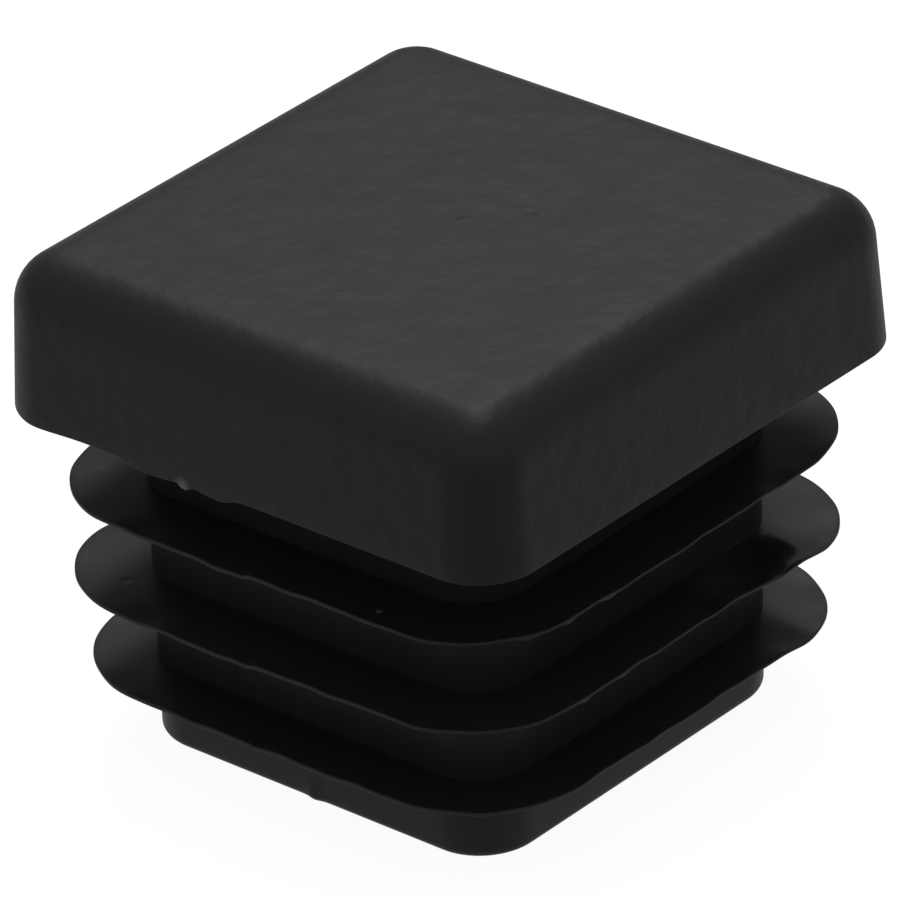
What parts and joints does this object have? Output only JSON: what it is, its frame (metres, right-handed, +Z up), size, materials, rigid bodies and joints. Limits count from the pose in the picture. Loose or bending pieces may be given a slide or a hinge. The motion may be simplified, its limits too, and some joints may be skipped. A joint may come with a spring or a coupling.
{
  "type": "tube end cap",
  "caption": "Push-in end cap for square tube: a soft-edged square head over a hollow plug ringed by thin bending fins.",
  "frame": {"origin": "centre of the open foot, on the plane of its rim, where the cap stands", "axes": "+Z up through the middle of the head, against the way the plug is pushed into the tube; X and Y square to the flats"},
  "size_m": [0.02, 0.02, 0.0169],
  "materials": {
    "black_polyethylene": "fine satin moulded grain, black all through"
  },
  "bodies": {
    "root": {"end_cap": "black_polyethylene"}
  },
  "joints": []
}
